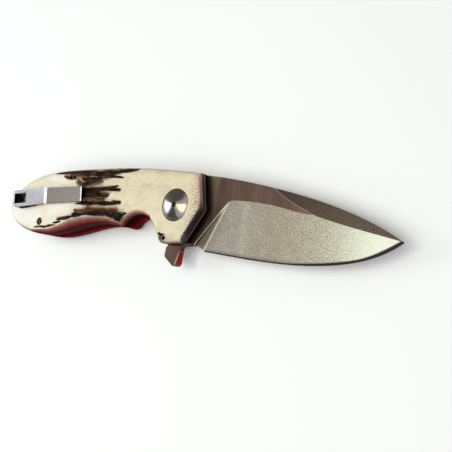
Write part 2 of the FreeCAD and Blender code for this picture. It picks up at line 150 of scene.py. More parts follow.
# %% [markdown]
# ## Small tools for finishes
#
# A finish is a graph of nodes. Long graphs read better when each step is one short call, so these
# helpers add a node, fill its sockets with values or links, and hand back its output. In all of them
# `nt` is the node tree at hand.

# %% Wiring helpers
def srgb(red, green, blue):
    """A colour as a paint chip is read, 0 to 255, turned into the linear values that shaders take."""
    share = np.array((red, green, blue)) / 255
    linear = np.where(share <= 0.04045, share / 12.92, ((share + 0.055) / 1.055) ** 2.4)
    return (*linear.tolist(), 1.0)


def fill(nt, made, sockets):
    """Fill inputs of a node, by name or number, with links or plain values."""
    for key, value in sockets.items():
        if isinstance(value, bpy.types.NodeSocket):
            nt.links.new(value, made.inputs[key])
        else:
            made.inputs[key].default_value = value


def node(nt, kind, sockets=None, **settings):
    """Add a node with its own settings, then fill its inputs."""
    made = nt.nodes.new("ShaderNode" + kind)
    for key, value in settings.items():
        setattr(made, key, value)
    fill(nt, made, sockets or {})
    return made


def shorthand(operation, kind="Math", output=0):
    """A short call for one operation of the Math or Vector Math node, on up to three values."""
    def call(nt, *values, **settings):
        made = node(nt, kind, dict(enumerate(values)), operation=operation, **settings)
        return made.outputs[output]
    return call


add, minus, times, over = map(shorthand, ("ADD", "SUBTRACT", "MULTIPLY", "DIVIDE"))
most, least, unsigned, sine = map(shorthand, ("MAXIMUM", "MINIMUM", "ABSOLUTE", "SINE"))
soft_most, soft_least = map(shorthand, ("SMOOTH_MAX", "SMOOTH_MIN"))
line = shorthand("MULTIPLY_ADD")  # a value times a slope, plus a base
offset, scaled, unit, moved = (shorthand(name, "VectorMath")
                               for name in ("SUBTRACT", "MULTIPLY", "NORMALIZE", "MULTIPLY_ADD"))
dot, length = (shorthand(name, "VectorMath", 1) for name in ("DOT_PRODUCT", "LENGTH"))


def step(nt, value, low, high):
    """0 before low, 1 past high, and a smooth ramp between."""
    sockets = {"Value": value, "From Min": low, "From Max": high}
    return node(nt, "MapRange", sockets, interpolation_type="SMOOTHSTEP").outputs["Result"]


def near(nt, value, middle, far, close):
    """1 where a value is close to a middle, 0 where it is far."""
    return step(nt, unsigned(nt, minus(nt, value, middle)), far, close)


def mix(nt, share, first, second, amount=None):
    """Two colours mixed: the first where share is 0, the second where it is 1, or up to an amount."""
    if amount is not None:
        share = times(nt, share, amount)
    return node(nt, "Mix", {0: share, 6: first, 7: second}, data_type="RGBA").outputs[2]


def coats(nt, colour, *layers):
    """Coats over a colour, one after the other: each is a share, its colour and perhaps an amount."""
    for share, coat, *amount in layers:
        colour = mix(nt, share, colour, coat, *amount)
    return colour


def mottle(nt, place, scale, detail=4.0, roughness=0.55, output="Fac"):
    sockets = {"Vector": place, "Scale": scale, "Detail": detail, "Roughness": roughness}
    return node(nt, "TexNoise", sockets).outputs[output]


def stretch(nt, place, scale, turn=0.0):
    sockets = {"Vector": place, "Scale": scale, "Rotation": (0, 0, turn)}
    return node(nt, "Mapping", sockets).outputs["Vector"]


def split(nt, vector):
    return node(nt, "SeparateXYZ", {"Vector": vector}).outputs


def knife_place(nt):
    """Object coordinates in millimetres, counted from the pivot."""
    raw = node(nt, "TexCoord").outputs["Object"]
    sockets = {"Vector": raw, "Scale": (1 / MM,) * 3, "Location": tuple(-pivot / MM)}
    return node(nt, "Mapping", sockets).outputs["Vector"]


def knife_plan(nt):
    """The place as seen along the pivot's axis, followed by its three parts."""
    x, y, z = split(nt, knife_place(nt))
    return node(nt, "CombineXYZ", {"X": x, "Y": y}).outputs["Vector"], x, y, z


def facing(nt):
    """The three parts of the surface's own direction."""
    return split(nt, node(nt, "TexCoord").outputs["Normal"])


def new_finish(name, metallic=0.0):
    """A material with its shader ready; returns the material, its tree and the shader."""
    material = bpy.data.materials.new(name)
    material.use_nodes = True
    shader = material.node_tree.nodes["Principled BSDF"]
    shader.inputs["Metallic"].default_value = metallic
    return material, material.node_tree, shader


def relief(nt, shader, height):
    """Carve the shaded surface by a height in millimetres."""
    made = node(nt, "Bump", {"Height": height, "Distance": MM, "Strength": 1.0})
    fill(nt, shader, {"Normal": made.outputs["Normal"]})


def wear(material, *names):
    """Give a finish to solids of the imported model."""
    for name in names:
        solids[name].data.materials.clear()
        solids[name].data.materials.append(material)
    print(material.name, "on", ", ".join(names))


# %% [markdown]
# ## White surroundings
#
# The knife lies on white paper that runs on without an edge. Near the knife the paper is a plain
# surface that takes the shadow. Further off, and up to a little above the horizon, it turns to even
# white for whoever looks there: the camera, and steel that mirrors it. The light that falls on the
# knife stays as the lamps and the room give it.

# %% Floor finish and horizon
PAPER, PAPER_ROUGHNESS, WHITE = (0.93, 0.93, 0.93, 1), 0.8, (1, 1, 1, 1)
FLOOR_NEAR, FLOOR_FAR = 0.14, 0.6
SKY_WHITE, SKY_ROOM = 0.25, 0.5


def looked_along(nt):
    """1 for rays from the camera, a mirror or a clear surface, 0 for rays that carry soft light."""
    ray = node(nt, "LightPath").outputs
    seen = most(nt, ray["Is Camera Ray"], ray["Is Glossy Ray"])
    return most(nt, seen, ray["Is Transmission Ray"])


floor_finish, nt, shader = new_finish("pale_floor")
fill(nt, shader, {"Base Color": PAPER, "Roughness": PAPER_ROUGHNESS})
away = length(nt, node(nt, "TexCoord").outputs["Object"])
share = times(nt, looked_along(nt), step(nt, away, FLOOR_NEAR, FLOOR_FAR))
white = node(nt, "Emission", {"Strength": 1.0}).outputs["Emission"]
both = node(nt, "MixShader", {0: share, 1: shader.outputs["BSDF"], 2: white}).outputs["Shader"]
fill(nt, nt.nodes["Material Output"], {"Surface": both})
floor_mesh.materials.append(floor_finish)

sky = world.node_tree
rise = split(sky, node(sky, "TexCoord").outputs["Generated"])[2]
share = times(sky, looked_along(sky), step(sky, rise, SKY_ROOM, SKY_WHITE))
room = {"Color": mix(sky, share, ROOM_TONE, WHITE),
        "Strength": line(sky, share, 1.0 - ROOM_STRENGTH, ROOM_STRENGTH)}
fill(sky, sky.nodes["Background"], room)
print("white beyond", FLOOR_FAR, "m")

# %% [markdown]
# ## Three shared effects
#
# Streaks of bark, the grain of ground steel and the rings of a lathe each turn up on several pieces.
# Each is a node group, built once, with named sockets.

# %% Node groups
def new_group(name, inputs, outputs):
    """An empty node group with its sockets; returns the tree, its inputs and its output node."""
    nt = bpy.data.node_groups.new(name, "ShaderNodeTree")
    for side, sockets in (("INPUT", inputs), ("OUTPUT", outputs)):
        for title, kind in sockets:
            nt.interface.new_socket(name=title, in_out=side, socket_type="NodeSocket" + kind)
    return nt, nt.nodes.new("NodeGroupInput").outputs, nt.nodes.new("NodeGroupOutput")


def place_group(nt, group, **sockets):
    titled = {key.replace("_", " ").title(): value for key, value in sockets.items()}
    return node(nt, "Group", titled, node_tree=group).outputs


def streak_group():
    """How deep a place lies in a tapering streak: 1 on its middle line, 0 on its rim, below 0 outside.
    The nearest point of the line from Start to End is found, and the distance to it is divided by the
    width there."""
    ends = (("Place", "Vector"), ("Start", "Vector"), ("End", "Vector"))
    widths = (("Start Width", "Float"), ("End Width", "Float"))
    nt, given, out = new_group("antler_streak", ends + widths, (("Depth", "Float"),))
    along = offset(nt, given["End"], given["Start"])
    off = offset(nt, given["Place"], given["Start"])
    share = over(nt, dot(nt, off, along), dot(nt, along, along), use_clamp=True)
    foot = node(nt, "VectorMath", {0: along, "Scale": share}, operation="SCALE").outputs["Vector"]
    far = length(nt, offset(nt, off, foot))
    spread = minus(nt, given["End Width"], given["Start Width"])
    width = line(nt, share, spread, given["Start Width"])
    fill(nt, out, {"Depth": minus(nt, 1.0, over(nt, far, width))})
    return nt


def grain_group():
    """Ground or blasted steel: a coarse and a fine noise, stretched by Density. Height is centred on
    0, Tone runs 0 to 1."""
    nt, given, out = new_group("steel_grain", (("Place", "Vector"), ("Density", "Vector")),
                               (("Height", "Float"), ("Tone", "Float")))
    place = stretch(nt, given["Place"], given["Density"])
    coarse = mottle(nt, place, 0.35, 3.0)
    fine = mottle(nt, place, 1.0, 5.0, 0.65)
    tone = line(nt, coarse, 0.4, times(nt, fine, 0.6))
    fill(nt, out, {"Tone": step(nt, tone, 0.3, 0.7), "Height": minus(nt, tone, 0.5)})
    return nt


def rings_group():
    """Marks of a turning tool: a noise that reads only the distance from the axis."""
    nt, given, out = new_group("lathe_rings", (("Place", "Vector"), ("Count", "Float")),
                               (("Height", "Float"), ("Tone", "Float")))
    radius = length(nt, scaled(nt, given["Place"], (1, 1, 0)))
    row = node(nt, "CombineXYZ", {"X": times(nt, radius, given["Count"])}).outputs["Vector"]
    ring = mottle(nt, row, 1.0, 2.0, 0.6)
    fill(nt, out, {"Height": minus(nt, ring, 0.5), "Tone": step(nt, ring, 0.35, 0.65)})
    return nt


STREAK, GRAIN, RINGS = streak_group(), grain_group(), rings_group()
print("groups:", ", ".join(g.name for g in (STREAK, GRAIN, RINGS)))

# %% [markdown]
# ## Stag
#
# The scales are sawn from antler and polished until the pale core shows; the dark, rough bark stays in
# the hollows as tongues that run along the handle. A painted picture could do this, but streaks that
# are placed by their two ends follow the real ones and stay sharp at any size. A noise frays their
# rims. Light is painted in as well: a painted glare on patches near the butt, painted shade on the
# sawn front end and round the screws, a painted pink highlight at the top of that end, and a painted
# red reflection along the belly and the spine, deepest and darkest next to the red spacer.

# %% Stag finish
# The ivory white is a painted glare on the polished bone
CREAM, TAN, GLARE_IVORY = srgb(224, 211, 180), srgb(180, 164, 134), srgb(234, 229, 220)
AMBER, TAWNY, UMBER = srgb(128, 82, 34), srgb(66, 40, 26), srgb(46, 16, 8)
# The dark brown serves both the real flecks and painted shade
BARK, ASH, FLECK_AND_SHADE_BROWN = srgb(8, 4, 4), srgb(84, 80, 82), srgb(50, 36, 34)
# The dun, red and crimson are a painted red reflection on the belly and the spine; the rose tone is a
# painted pink highlight
BOUNCE_DUN, BOUNCE_RED, BOUNCE_CRIMSON, PINK_HIGHLIGHT = srgb(150, 120, 106), srgb(124, 50, 45), srgb(52, 4, 9), srgb(190, 148, 138)
SCALE_FACE, BARK_DEPTH, BELLY_ROUNDING = 7.5, 0.2, 3.2
FRONT_POINT = (12.3, -0.6, 0.0)
FRONT_UPPER, FRONT_LOWER = (0.973, 0.231, 0.0), (0.886, -0.463, 0.0)
SCREW_PLACES = ((-59.83, 9.40), (-76.53, -11.90), (-4.10, -13.20))
# Where the painted shade round the screws sets in
SEAT_RIM, SEAT_FAR = (1.95, 1.7), 9.0

# Noises drawn out along the handle: density along, across and up, then detail and roughness
SWIRL, FRAY = ((0.11, 0.45, 1), 3.0, 0.55), ((0.22, 1.9, 1), 6.0, 0.66)
FIBRE, POLISH = ((0.35, 4.5, 1), 4.0, 0.6), ((0.45, 2.4, 1), 6.0, 0.6)
PATCHES, SWIRL_REACH = ((0.14, 0.6, 1), 5.0, 0.6), (6.0, 2.0, 0.0)

# Where a tone sets in along the knife or across it, and where it is full
GLARE_X, FLECK_X, NOSE_X = (-38, -70), (3.5, 11.0), (-10, -5)
BELLY_Y, SPINE_Y, UPPER_Y, BELLY_SIDE_Y = (5.0, -3.0), (3.0, 8.0), (6.0, 8.0), (4.0, -2.0)

# Streaks: x and y of both ends of the middle line, then half the width at each
CLIP_SIDE_BARK = (
    (-71, 10.4, -58, 11.2, 0.4, 1.1), (-58, 11.4, -42, 10.9, 0.9, 2.1),
    (-43, 11.0, -33, 11.8, 1.9, 1.3), (-34, 12.0, -22, 13.4, 1.4, 0.5),
    (-40, 9.9, -29.7, 9.9, 0.6, 0.25), (-63, 8.5, -58, 8.6, 0.6, 0.6), (-53, 8.4, -46, 9.0, 0.8, 0.9),
    (-52, 6.4, -48.5, 7.0, 1.2, 0.9), (-48, 8.0, -42, 9.2, 1.2, 0.7), (-52, 4.0, -45, 4.1, 1.1, 1.1),
    (-47, 4.4, -36, 4.7, 1.1, 1.15), (-37, 4.8, -30.4, 4.8, 1.15, 0.6),
    (-36, 5.6, -32, 6.1, 0.5, 0.3), (-54, 2.5, -45, 2.4, 2.2, 2.0), (-46, 2.6, -37, 2.2, 1.9, 1.1),
    (-55, -2.3, -50, -2.0, 0.3, 1.0), (-50, -1.9, -36, -1.3, 1.1, 1.1),
    (-37, -1.3, -29.6, -0.8, 1.1, 0.9), (-65, -10.2, -57.5, -8.5, 0.6, 0.9),
    (-57.5, -8.2, -54.5, -7.5, 0.6, 1.1), (-54.5, -7.4, -50, -7.0, 1.1, 0.6),
    (-50, -6.8, -44, -6.0, 0.8, 1.2), (-44, -6.0, -36, -5.7, 1.3, 1.5),
    (-36, -5.8, -28, -6.4, 1.5, 2.1), (-28.5, -6.1, -24.4, -4.9, 1.8, 0.4),
    (-31, -7.6, -27.5, -8.0, 0.9, 1.0), (-79.7, -14.9, -73, -14.1, 0.3, 0.6),
    (-73, -14.1, -66.4, -12.8, 0.6, 0.3), (-67.4, -11.9, -62.6, -10.9, 0.4, 0.3),
    (-6.1, -11.5, -3.2, -13.0, 0.3, 1.0),
)
CLIP_SIDE_GLOW = (
    (-57, 9.9, -50, 10.0, 0.9, 0.8), (-39.5, 10.7, -36.5, 10.8, 0.9, 0.7),
    (-65, 9.3, -61, 8.8, 0.3, 0.5), (-56, 7.4, -53, 5.8, 0.8, 0.9), (-50, 6.9, -41, 8.0, 1.4, 0.8),
    (-45, 2.2, -38, 2.0, 1.6, 0.8), (-49.5, 0.3, -39, 0.5, 0.9, 0.7),
    (-48, -4.5, -31, -4.0, 0.9, 0.8), (-54, -5.6, -46, -4.9, 0.6, 0.8),
)
CLIP_SIDE_SCRAPED = (
    (-47.5, 5.8, -40, 6.3, 0.25, 0.45), (-49.5, 0.2, -38, 0.5, 0.25, 0.45),
    (-41, 3.1, -37, 3.3, 0.3, 0.4), (-50, -3.6, -33, -2.8, 0.3, 0.5),
)
SHOW_SIDE_BARK = (
    (-84, 6.0, -58, 11.2, 0.5, 2.0), (-60, 11.0, -34, 12.4, 2.4, 1.6), (-66, 3.2, -36, 6.0, 2.2, 1.0),
    (-58, 0.6, -30, 1.6, 1.7, 0.9), (-70, -4.0, -44, -2.6, 1.0, 1.4),
    (-80, -12.6, -54, -9.0, 0.7, 1.7), (-56, -8.8, -30, -7.6, 1.8, 1.2),
    (-94, -4.0, -84, -2.0, 0.8, 0.5), (-5.6, -12.0, -2.9, -13.6, 0.4, 0.9),
)
SHOW_SIDE_GLOW = (
    (-64, 7.6, -44, 8.8, 1.9, 1.2), (-66, 1.6, -42, 3.4, 2.2, 1.2), (-74, -9.0, -48, -6.4, 1.3, 1.2),
)
SHOW_SIDE_SCRAPED = ((-62, 9.2, -50, 9.8, 0.5, 0.6), (-58, 2.6, -40, 4.2, 0.5, 0.7))
# A painted red reflection along the belly, placed as streaks
BELLY_LINE = (
    (-82, -17.0, -70, -17.1, 1.2, 2.6), (-70, -17.1, -61.9, -15.6, 2.6, 3.9),
    (-61.9, -15.6, -56.1, -14.0, 3.9, 5.0), (-56.1, -14.0, -50.7, -12.4, 5.0, 4.7),
    (-50.7, -12.4, -45.5, -11.0, 4.7, 3.9), (-45.5, -11.0, -40.3, -10.0, 3.9, 3.1),
    (-40.3, -10.0, -35.4, -9.7, 3.1, 2.5), (-35.4, -9.7, -29, -10.3, 2.5, 1.9),
    (-25, -8.8, -20.5, -5.4, 1.0, 1.5), (-20.5, -5.4, -13, -5.6, 1.5, 1.2),
)
# A painted glare near the butt, placed as streaks
GLARE_PATCHES = (
    (-92, -8.5, -81, -9.5, 4.5, 4.5), (-70, -6.6, -60, -4.4, 1.9, 1.9),
    (-74, 8.4, -64, 7.6, 1.2, 1.6),
)
NO_STREAK, STREAK_JOIN = -3.0, 0.15


def deepest(nt, place, streaks):
    """The greatest depth in any streak of a list, with soft joins."""
    depth = NO_STREAK
    for x1, y1, x2, y2, width1, width2 in streaks:
        streak = place_group(nt, STREAK, place=place, start=(x1, y1, 0), end=(x2, y2, 0),
                             start_width=width1, end_width=width2)
        depth = soft_most(nt, depth, streak["Depth"], STREAK_JOIN)
    return depth


def drawn_out(nt, place, noise, output="Fac"):
    """One of the noises that are drawn out along the handle."""
    density, detail, roughness = noise
    return mottle(nt, stretch(nt, place, density), 1.0, detail, roughness, output)


def past_front(nt, place):
    """How far a place lies past the two planes of the handle's front end; inside it is below 0."""
    ahead = offset(nt, place, FRONT_POINT)
    return most(nt, dot(nt, ahead, FRONT_UPPER), dot(nt, ahead, FRONT_LOWER))


def stag(name, bark_streaks, glow_streaks, scraped_streaks):
    """Polished antler with bark left in streaks, and painted glare, shade and red reflection."""
    material, nt, shader = new_finish(name)
    plan, x, y, z = knife_plan(nt)

    # Bark: streaks under a warped plan, with rims frayed along the handle
    swirl = offset(nt, drawn_out(nt, plan, SWIRL, "Color"), (0.5, 0.5, 0.5))
    warped = moved(nt, swirl, SWIRL_REACH, plan)
    fray, fibre = drawn_out(nt, plan, FRAY), drawn_out(nt, plan, FIBRE)
    frayed = line(nt, fray, 2.1, line(nt, fibre, 1.1, -1.5))
    scraped, body, lit = (add(nt, deepest(nt, warped, streaks), frayed)
                          for streaks in (scraped_streaks, bark_streaks, glow_streaks))
    body = line(nt, step(nt, scraped, -0.2, 0.5), -1.2, body)
    bark, fringe = step(nt, body, -0.15, 0.4), step(nt, body, -0.8, 0.1)
    glow, halo = step(nt, lit, -0.3, 0.9), step(nt, lit, -1.7, 0.2)

    # Polished core: broad clouds, fine grain along the handle, a painted glare on patches by the butt
    # and growing towards it, dark flecks at the front, and resin from amber to tawny round the bark
    clouds = mottle(nt, stretch(nt, plan, (0.8, 1.3, 1), 0.5), 0.15, 4.0, 0.6)
    grain = drawn_out(nt, plan, POLISH)
    speck = mottle(nt, plan, 0.9, 4.0, 0.75)
    flecks = mottle(nt, stretch(nt, plan, (1.0, 1.6, 1)), 1.5, 3.0, 0.7)
    pale = step(nt, deepest(nt, warped, GLARE_PATCHES), -0.6, 0.5)
    flecked = add(nt, flecks, times(nt, step(nt, x, *FLECK_X), 0.16))
    resin = mix(nt, step(nt, fibre, 0.42, 0.6), AMBER, TAWNY)
    core = coats(
        nt, CREAM, (step(nt, clouds, 0.4, 0.7), TAN, 0.42),
        (line(nt, pale, 0.6, times(nt, step(nt, x, *GLARE_X), 0.3)), GLARE_IVORY),
        (step(nt, grain, 0.5, 0.75), TAN, 0.3), (step(nt, speck, 0.5, 0.7), TAN, 0.26),
        (step(nt, flecked, 0.64, 0.7), FLECK_AND_SHADE_BROWN, 0.75), (fringe, AMBER, 0.5), (halo, resin, 0.95),
        (step(nt, glow, 0.5, 1.0), UMBER, 0.7))

    # Bark tones: nearly black, umber and threads of amber where the glow reaches and along the spine,
    # ash below where it is weathered
    patch = drawn_out(nt, plan, PATCHES)
    upper = step(nt, y, *UPPER_Y)
    warmth = line(nt, glow, 0.75, line(nt, upper, 0.4, 0.25), use_clamp=True)
    threads = times(nt, step(nt, patch, 0.58, 0.7), step(nt, fray, 0.46, 0.6))
    crust = coats(
        nt, BARK, (step(nt, patch, 0.44, 0.62), UMBER, warmth), (threads, AMBER, warmth),
        (step(nt, fray, 0.52, 0.7), ASH, line(nt, upper, -0.4, 0.5)))

    # Belly: a painted red reflection, dun where the rounding starts, then red, then dark crimson next
    # to the spacer, where it is painted shade as well; a faint painted red reflection along the spine
    down = minus(nt, SCALE_FACE - BARK_DEPTH, unsigned(nt, z))
    low = times(nt, step(nt, y, *BELLY_Y), line(nt, step(nt, x, *NOSE_X), -0.6, 1.0))
    rounded = times(nt, over(nt, down, BELLY_ROUNDING), low)
    belly_bounce = most(nt, rounded, deepest(nt, plan, BELLY_LINE))
    belly_bounce = line(nt, minus(nt, fray, 0.5), 0.3, belly_bounce)
    spine = times(nt, step(nt, down, 0.3, 1.2), step(nt, y, *SPINE_Y))

    # Painted shade round the screws, where they sit in their seats
    seat = SEAT_FAR
    for spot in SCREW_PLACES:
        seat = least(nt, seat, length(nt, offset(nt, plan, (*spot, 0))))

    # Front: a painted pink highlight at the top of the sawn end, painted shade below and next to the
    # spacer
    front = past_front(nt, plan)
    ragged = line(nt, minus(nt, flecks, 0.5), 2.4, front)
    low_shade = times(nt, step(nt, ragged, -1.3, -0.4), step(nt, y, *BELLY_SIDE_Y))
    deep_shade = times(nt, step(nt, front, -0.8, -0.2), step(nt, down, 1.2, 2.4))
    colour = coats(
        nt, core, (bark, crust), (step(nt, belly_bounce, -0.02, 0.2), BOUNCE_DUN),
        (step(nt, belly_bounce, 0.1, 0.6), BOUNCE_RED), (step(nt, belly_bounce, 0.55, 0.95), BOUNCE_CRIMSON),
        (spine, BOUNCE_RED, 0.6), (step(nt, seat, *SEAT_RIM), FLECK_AND_SHADE_BROWN, 0.6),
        (step(nt, ragged, -1.6, -0.3), PINK_HIGHLIGHT, 0.85), (most(nt, low_shade, deep_shade), FLECK_AND_SHADE_BROWN))

    # Gloss and relief: the core is polished, the bark and the resin are dull
    dull = most(nt, most(nt, bark, halo), step(nt, belly_bounce, 0.1, 0.5))
    polished = node(nt, "Bump", {"Height": grain, "Distance": 0.03 * MM}).outputs["Normal"]
    rough = node(nt, "Bump", {"Height": fray, "Distance": 0.5 * MM}).outputs["Normal"]
    carved = node(nt, "Mix", {0: bark, 4: polished, 5: rough}, data_type="VECTOR").outputs[1]
    fill(nt, shader, {
        "Base Color": colour, "Specular IOR Level": 0.08, "Coat Roughness": 0.3,
        "Coat Weight": line(nt, dull, -0.4, 0.4),
        "Roughness": line(nt, dull, 0.3, line(nt, grain, 0.12, 0.4)),
        "Normal": unit(nt, carved)})
    return material


stag_clip_side = stag("stag_clip_side", CLIP_SIDE_BARK, CLIP_SIDE_GLOW, CLIP_SIDE_SCRAPED)
stag_show_side = stag("stag_show_side", SHOW_SIDE_BARK, SHOW_SIDE_GLOW, SHOW_SIDE_SCRAPED)

# %% [markdown]
# ## Blade steel
#
# The blade is one piece of steel with several finishes: brown-grey flats, pale stonewashed bevels
# tumbled with grit, a dark top bevel and a narrow whetted edge. Each ground face leans by a few
# degrees, so the lean of the surface across the blade tells them apart, exactly along the solid's own
# ridges. Where the main bevel runs out, the wheel leaves a round shoulder, which the solid lacks; its
# shade and the highlights on its lines are painted from the distance to that line. Painted light also
# lies on the flats as a reflection of the handle, on the ridge and the rim of the tab as highlights,
# on the edge as a dark reflection, on the front of the tab as a red reflection, and towards the tip as
# a sheen.

# %% Blade finish
# The olive tone is a painted reflection of the handle on the flats
FLAT_STEEL, BAND_STEEL, HANDLE_REFLECTION_OLIVE = srgb(84, 67, 62), srgb(72, 57, 51), srgb(102, 90, 75)
# The stonewash grows lighter towards the tip, partly a painted sheen
WASH_REAR, WASH_MIDDLE, WASH_TIP = srgb(160, 154, 152), srgb(154, 145, 132), srgb(182, 184, 175)
WASH_PIT, WASH_CLOUD, TOP_STEEL = srgb(86, 78, 70), srgb(112, 106, 100), srgb(66, 56, 49)
# The edge tone is a painted dark reflection, the line tone serves real scratches and painted
# highlights, and the red is a painted reflection
EDGE_DARK_REFLECTION, SCRATCH_AND_HIGHLIGHT_STEEL, TAB_RED_REFLECTION = srgb(50, 36, 33), srgb(250, 246, 228), srgb(150, 4, 10)
# The shoulder tone is painted shade
SHOULDER_SHADE, GRIT_STEEL = srgb(98, 88, 70), srgb(138, 122, 104)
BEVEL_LEAN, EDGE_LEAN, TOP_LEAN = (-0.012, -0.028), (-0.13, -0.17), (0.015, 0.03)
PLUNGE_LOW, BEVEL_TOP, CORNER_ROUND = (6.3, -15.9, 0.0), 4.2, 2.2
PLUNGE_ALONG, PLUNGE_ACROSS = (0.5955, 0.8034, 0.0), (0.8034, -0.5955, 0.0)
SHOULDER_WIDTH, SHOULDER_TAPER, PLUNGE_END = 4.85, -0.2, (25.0, 18.0)
# Line of a painted highlight on the rim of the tab
TAB_RIM = ((1.0, -17.4, -0.5, -22.6, 0.3, 0.4),)
# Where the painted red reflection on the front of the tab lies
TAB_FRONT, RED_REFLECTION_Y = (0.45, 0.6), (-16.9, -17.9)
# Line of the painted highlight on the ridge of the top bevel
RIDGE_LINE = (
    (39.6, 9.65, 43.2, 7.2, 0.2, 0.2), (43.2, 7.2, 49.2, 4.1, 0.2, 0.2),
    (49.2, 4.1, 57.0, 0.8, 0.2, 0.2),
)
SCRATCH_TURNS, SCRATCH_DENSITY, BAND_DENSITY = (0.3, 1.3, 2.2), (0.8, 6.0, 1), (0.2, 0.03, 1)
SCRATCHED_LANE = 28.8

# Where a tone sets in along the blade or across it, and where it is full
OLIVE_X, OLIVE_Y, REAR_X, TIP_X = (16.0, 14.0), (-4.0, 0.0), (14, 46), (40, 82)
CLEAN_X, CLOUD_X, GRIT_X, KEEN_X = (60, 86), (76, 46), (30, 76), (36, 88)


def blade_steel():
    """All finishes of the blade, with their painted highlights, reflections and shade, told apart by
    lean and place.
    """
    material, nt, shader = new_finish("stonewashed_blade_steel", metallic=1.0)
    plan, x, y, z = knife_plan(nt)
    thickness = unsigned(nt, z)
    ahead, lean, _ = facing(nt)
    bevel, edge = step(nt, lean, *BEVEL_LEAN), step(nt, lean, *EDGE_LEAN)
    top = step(nt, lean, *TOP_LEAN)
    ground = most(nt, bevel, top)

    # Flats: soft bands across the blade, a painted olive reflection of the handle next to it, a painted
    # highlight on the rim of the tab
    bands = mottle(nt, stretch(nt, plan, BAND_DENSITY), 1.0, 3.0)
    colour = coats(
        nt, FLAT_STEEL, (step(nt, bands, 0.35, 0.65), BAND_STEEL),
        (step(nt, x, *OLIVE_X), HANDLE_REFLECTION_OLIVE, step(nt, y, *OLIVE_Y)),
        (step(nt, deepest(nt, plan, TAB_RIM), 0.0, 0.8), SCRATCH_AND_HIGHLIGHT_STEEL, 0.2))

    # Stonewash: clouds, pits and short scratches that cross at random; the tone grows lighter towards
    # the tip, partly as a painted sheen
    grit = mottle(nt, plan, 1.8, 6.0, 0.85)
    pits = mottle(nt, plan, 2.6, 3.0, 0.7)
    scratches = 0.0
    for turn in SCRATCH_TURNS:
        strokes = mottle(nt, stretch(nt, plan, SCRATCH_DENSITY, turn), 1.0, 2.0)
        scratches = most(nt, scratches, step(nt, strokes, 0.66, 0.76))
    lane = near(nt, x, SCRATCHED_LANE, 2.2, 0.6)
    scratches = line(nt, lane, step(nt, pits, 0.56, 0.66), scratches)
    cloudy = step(nt, mottle(nt, plan, 0.22, 5.0, 0.7), 0.42, 0.64)
    wash = coats(
        nt, WASH_REAR, (step(nt, x, *REAR_X), WASH_MIDDLE), (step(nt, x, *TIP_X), WASH_TIP),
        (step(nt, grit, 0.36, 0.66), WASH_PIT, line(nt, step(nt, x, *CLEAN_X), -0.85, 1.0)),
        (times(nt, cloudy, step(nt, x, *CLOUD_X)), WASH_CLOUD, 0.42), (scratches, SCRATCH_AND_HIGHLIGHT_STEEL, 0.6))

    # Shoulder of the main bevel, in painted shade from the plunge line to a second line that closes in
    # on it, round at the top, with painted highlights along both lines
    from_low = offset(nt, plan, PLUNGE_LOW)
    across = dot(nt, from_low, PLUNGE_ACROSS)
    along = dot(nt, from_low, PLUNGE_ALONG)
    past = minus(nt, across, line(nt, along, SHOULDER_TAPER, SHOULDER_WIDTH))
    wash = coats(
        nt, wash, (step(nt, past, 0.1, -0.9), SHOULDER_SHADE, 0.9),
        (near(nt, past, 0.1, 0.5, 0.1), SCRATCH_AND_HIGHLIGHT_STEEL, 0.3))
    corner = soft_least(nt, across, minus(nt, BEVEL_TOP, y), CORNER_ROUND)
    rim = times(nt, near(nt, across, 0.06, 0.3, 0.08), step(nt, thickness, 1.1, 1.35))

    # Top bevel left coarse, a painted highlight on its ridge; a painted dark reflection on the edge
    # where it is thinnest, wider towards the tip; a painted red reflection on the front of the tab
    coarse = times(nt, step(nt, grit, 0.35, 0.85), step(nt, x, *GRIT_X))
    ridge_highlight = step(nt, deepest(nt, plan, RIDGE_LINE), 0.2, 0.9)
    thin = line(nt, step(nt, x, *KEEN_X), 0.15, 0.21)
    keen = step(nt, minus(nt, thickness, thin), 0.05, -0.05)
    red_reflection = times(nt, step(nt, ahead, *TAB_FRONT), step(nt, y, *RED_REFLECTION_Y))
    colour = coats(
        nt, colour, (bevel, wash, step(nt, corner, -0.1, 0.25)),
        (rim, SCRATCH_AND_HIGHLIGHT_STEEL, step(nt, along, *PLUNGE_END)), (top, mix(nt, coarse, TOP_STEEL, GRIT_STEEL)),
        (ridge_highlight, SCRATCH_AND_HIGHLIGHT_STEEL, 0.16), (edge, EDGE_DARK_REFLECTION, keen), (red_reflection, TAB_RED_REFLECTION))

    washed = times(nt, line(nt, scratches, 0.006, times(nt, pits, 0.02)), ground)
    relief(nt, shader, line(nt, bands, 0.004, washed))
    fill(nt, shader, {
        "Base Color": colour, "Metallic": minus(nt, 1.0, red_reflection),
        "Roughness": line(nt, pits, 0.12, line(nt, ground, 0.1, 0.3)),
        "Specular IOR Level": 0.1})
    return material


wear(blade_steel(), "blade")

# %% [markdown]
# ## Liners, spacers and inner parts
#
# What shows between the scales is thin: two dark steel liners, red fibre under each scale, and a black
# laminate spacer along the spine. The bearing parts show only when the knife is taken apart, but they
# are finished as well.

# %% Steel, fibre, laminate and bronze finishes
LINER_IN, LINER_OUT = 2.0, 3.5
SOCKET_SHADE, SOCKET_FADE = srgb(22, 18, 16), 0.15
FIBRE_DARK, FIBRE_RED = srgb(70, 6, 10), srgb(112, 12, 16)
FIBRE_SHADE, FIBRE_FRONT = srgb(24, 8, 9), srgb(140, 116, 110)
LAYERS = 18.0
INNER_X = (-62.0, -40.0)


